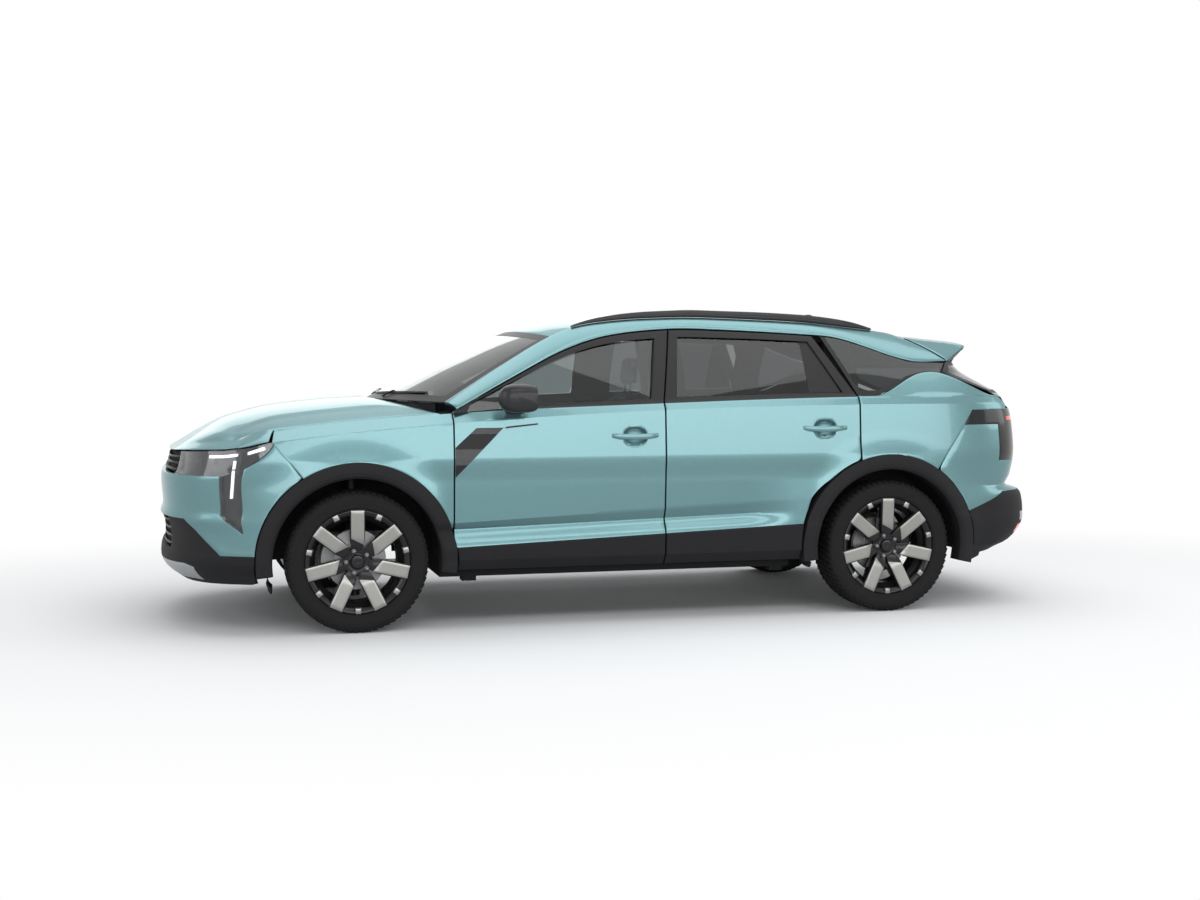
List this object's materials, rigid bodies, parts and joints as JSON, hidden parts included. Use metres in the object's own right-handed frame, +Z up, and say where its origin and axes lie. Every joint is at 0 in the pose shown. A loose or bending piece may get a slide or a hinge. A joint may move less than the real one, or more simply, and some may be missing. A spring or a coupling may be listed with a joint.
{
  "type": "crossover car",
  "caption": "Five-door crossover car with black cladding, roof rails, opening doors, bonnet and tailgate, steered front wheels and a furnished cabin.",
  "frame": {"origin": "on the ground at the middle of the overall length and width", "axes": "+X forward, +Y to the left side, +Z up"},
  "size_m": [4.5712, 2.092, 1.5409],
  "materials": {
    "body_paint": "gloss metallic",
    "black_plastic": "matt",
    "tinted_glass": "gloss",
    "bare_steel": "satin",
    "wheel_alloy": "satin",
    "tyre_rubber": "matt",
    "clear_lens": "gloss",
    "red_lens": "gloss",
    "seat_cloth": "woven"
  },
  "bodies": {
    "body": {"floor_pan": "bare_steel", "body_sides": "black_plastic", "cant_rails": "body_paint", "front_fenders": "body_paint", "quarter_panels": "body_paint", "roof": "body_paint", "roof_rails": "black_plastic", "front_bumper": "body_paint", "front_valance": "black_plastic", "grilles": "black_plastic", "headlamps": "clear_lens", "rear_bumper": "body_paint", "rear_valance": "black_plastic", "tail_lamps": "red_lens", "arch_flares": "black_plastic", "wheel_liners": "black_plastic", "fixed_glass": "tinted_glass", "cowl": "black_plastic", "dashboard": "black_plastic", "seats": "seat_cloth", "engine": "bare_steel", "front_suspension": "bare_steel", "rear_axle": "bare_steel", "exhaust": "bare_steel"},
    "knuckle_left": {"knuckle_left": "bare_steel"},
    "knuckle_right": {"knuckle_right": "bare_steel"},
    "wheel_front_left": {"rim_front_left": "wheel_alloy", "tyre_front_left": "tyre_rubber"},
    "wheel_front_right": {"rim_front_right": "wheel_alloy", "tyre_front_right": "tyre_rubber"},
    "wheel_rear_left": {"rim_rear_left": "wheel_alloy", "tyre_rear_left": "tyre_rubber"},
    "wheel_rear_right": {"rim_rear_right": "wheel_alloy", "tyre_rear_right": "tyre_rubber"},
    "door_front_left": {"door_front_left": "body_paint", "glass_front_left": "tinted_glass", "mirror_left": "body_paint"},
    "door_front_right": {"door_front_right": "body_paint", "glass_front_right": "tinted_glass", "mirror_right": "body_paint"},
    "door_rear_left": {"door_rear_left": "body_paint", "glass_rear_left": "tinted_glass"},
    "door_rear_right": {"door_rear_right": "body_paint", "glass_rear_right": "tinted_glass"},
    "bonnet": {"bonnet": "body_paint"},
    "tailgate": {"tailgate": "body_paint", "tailgate_glass": "tinted_glass"}
  },
  "joints": [
    {"name": "steer_left", "type": "hinge", "parent": "body", "child": "knuckle_left", "pos_m": [1.3825, 0.7175, 0.335], "axis": [0, 0, 1], "range_deg": [-35, 35]},
    {"name": "steer_right", "type": "hinge", "parent": "body", "child": "knuckle_right", "pos_m": [1.3825, -0.7175, 0.335], "axis": [0, 0, 1], "range_deg": [-35, 35]},
    {"name": "wheel_front_left_spin", "type": "hinge", "parent": "knuckle_left", "child": "wheel_front_left", "pos_m": [1.3825, 0.7875, 0.335], "axis": [0, 1, 0], "continuous": true},
    {"name": "wheel_rear_left_spin", "type": "hinge", "parent": "body", "child": "wheel_rear_left", "pos_m": [-1.3175, 0.7875, 0.335], "axis": [0, 1, 0], "continuous": true},
    {"name": "wheel_front_right_spin", "type": "hinge", "parent": "knuckle_right", "child": "wheel_front_right", "pos_m": [1.3825, -0.7875, 0.335], "axis": [0, 1, 0], "continuous": true},
    {"name": "wheel_rear_right_spin", "type": "hinge", "parent": "body", "child": "wheel_rear_right", "pos_m": [-1.3175, -0.7875, 0.335], "axis": [0, 1, 0], "continuous": true},
    {"name": "door_front_left_hinge", "type": "hinge", "parent": "body", "child": "door_front_left", "pos_m": [0.8925, 0.893, 0.7], "axis": [0, 0, -1], "range_deg": [0, 65]},
    {"name": "door_front_right_hinge", "type": "hinge", "parent": "body", "child": "door_front_right", "pos_m": [0.8925, -0.893, 0.7], "axis": [0, 0, 1], "range_deg": [0, 65]},
    {"name": "door_rear_left_hinge", "type": "hinge", "parent": "body", "child": "door_rear_left", "pos_m": [-0.1565, 0.893, 0.7], "axis": [0, 0, -1], "range_deg": [0, 70]},
    {"name": "door_rear_right_hinge", "type": "hinge", "parent": "body", "child": "door_rear_right", "pos_m": [-0.1565, -0.893, 0.7], "axis": [0, 0, 1], "range_deg": [0, 70]},
    {"name": "bonnet_hinge", "type": "hinge", "parent": "body", "child": "bonnet", "pos_m": [0.9765, 0, 1.031], "axis": [0, -1, 0], "range_deg": [0, 50]},
    {"name": "tailgate_hinge", "type": "hinge", "parent": "body", "child": "tailgate", "pos_m": [-1.5305, 0, 1.434], "axis": [0, 1, 0], "range_deg": [0, 78]}
  ],
  "couplings": [
    {"joint": "steer_right", "follows": "steer_left", "ratio": 1}
  ]
}
